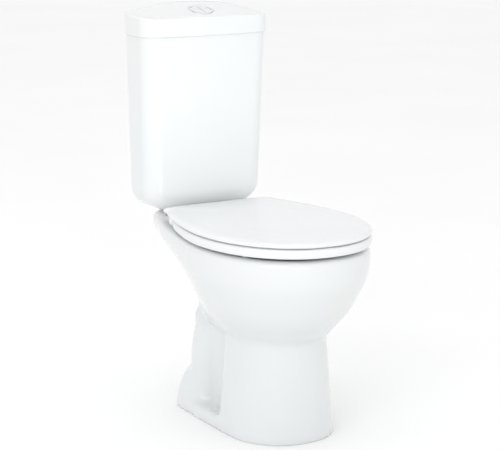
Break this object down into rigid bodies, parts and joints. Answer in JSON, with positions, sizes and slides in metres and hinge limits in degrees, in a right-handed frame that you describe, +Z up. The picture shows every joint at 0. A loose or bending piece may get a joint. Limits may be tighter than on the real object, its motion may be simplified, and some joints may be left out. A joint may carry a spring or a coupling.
{
  "type": "close coupled toilet",
  "caption": "Floor-standing white ceramic toilet with a cistern bolted on its rear deck, hinged seat and lid, and a round chrome dual-flush button.",
  "frame": {"origin": "on the floor, midway between the two floor fixing holes", "axes": "+Z up, -Y towards the front of the bowl, X across"},
  "size_m": [0.3605, 0.6045, 0.8551],
  "materials": {
    "glaze": "glossy white vitreous glaze",
    "seat_plastic": "glossy white moulded",
    "hinge_plastic": "satin white",
    "steel": "plain stainless",
    "rubber": "matte black",
    "buffer_rubber": "matte pale grey",
    "foam_rubber": "matte closed-cell",
    "valve_plastic": "moulded natural white",
    "valve_grey": "moulded grey",
    "chrome": "bright plated"
  },
  "bodies": {
    "frame": {"pan": "glaze", "cistern_body": "glaze", "hinge_posts": "hinge_plastic", "hinge_screws": "steel", "expanding_plugs": "rubber", "coupling_seal": "foam_rubber", "cistern_bolts": "steel", "bolt_seals": "rubber", "bolt_washers": "steel", "wing_nuts": "steel", "flush_valve_base": "valve_plastic", "valve_washer": "rubber", "valve_back_nut": "valve_plastic", "flush_valve_tower": "valve_plastic", "valve_bridge": "valve_grey", "fill_valve_shank": "valve_plastic", "fill_valve_washer": "rubber", "fill_valve_nut": "valve_plastic", "fill_valve_head": "valve_grey", "hinge_pins": "steel"},
    "seat_ring": {"seat_ring": "seat_plastic", "seat_buffers": "buffer_rubber"},
    "seat_lid": {"seat_lid": "seat_plastic", "lid_buffers": "buffer_rubber"},
    "cistern_lid": {"cistern_lid": "glaze", "button_housing": "chrome", "button_nut": "valve_plastic"},
    "full_flush_button": {"full_flush_button": "chrome"},
    "half_flush_button": {"half_flush_button": "chrome"},
    "full_flush_plunger": {"full_flush_plunger": "valve_grey"},
    "half_flush_plunger": {"half_flush_plunger": "valve_grey"},
    "flush_lift": {"overflow_tube": "valve_grey", "valve_seal": "rubber"},
    "float": {"float_cup": "valve_grey"}
  },
  "joints": [
    {"name": "seat_hinge", "type": "hinge", "parent": "frame", "child": "seat_ring", "pos_m": [0, 0.134, 0.424], "axis": [-1, 0, 0], "range_deg": [0, 92]},
    {"name": "lid_hinge", "type": "hinge", "parent": "seat_ring", "child": "seat_lid", "pos_m": [0, 0.134, 0.424], "axis": [1, 0, 0], "range_deg": [-92, 0]},
    {"name": "cistern_lid_lift", "type": "slide", "parent": "frame", "child": "cistern_lid", "axis": [0, 0, 1], "range_m": [0, 0.2]},
    {"name": "full_flush_press", "type": "slide", "parent": "cistern_lid", "child": "full_flush_button", "axis": [0, 0, -1], "range_m": [0, 0.006], "stiffness_N_per_m": 300, "springref_m": -0.012},
    {"name": "half_flush_press", "type": "slide", "parent": "cistern_lid", "child": "half_flush_button", "axis": [0, 0, -1], "range_m": [0, 0.006], "stiffness_N_per_m": 300, "springref_m": -0.012},
    {"name": "full_plunger_slide", "type": "slide", "parent": "frame", "child": "full_flush_plunger", "axis": [0, 0, -1], "range_m": [0, 0.006]},
    {"name": "half_plunger_slide", "type": "slide", "parent": "frame", "child": "half_flush_plunger", "axis": [0, 0, -1], "range_m": [0, 0.006]},
    {"name": "flush_valve_lift", "type": "slide", "parent": "frame", "child": "flush_lift", "axis": [0, 0, 1], "range_m": [0, 0.012]},
    {"name": "float_rise", "type": "slide", "parent": "frame", "child": "float", "axis": [0, 0, 1], "range_m": [0, 0.025]}
  ],
  "couplings": [
    {"joint": "full_plunger_slide", "follows": "full_flush_press", "ratio": 1},
    {"joint": "half_plunger_slide", "follows": "half_flush_press", "ratio": 1},
    {"joint": "flush_valve_lift", "follows": "full_flush_press", "ratio": 2}
  ]
}
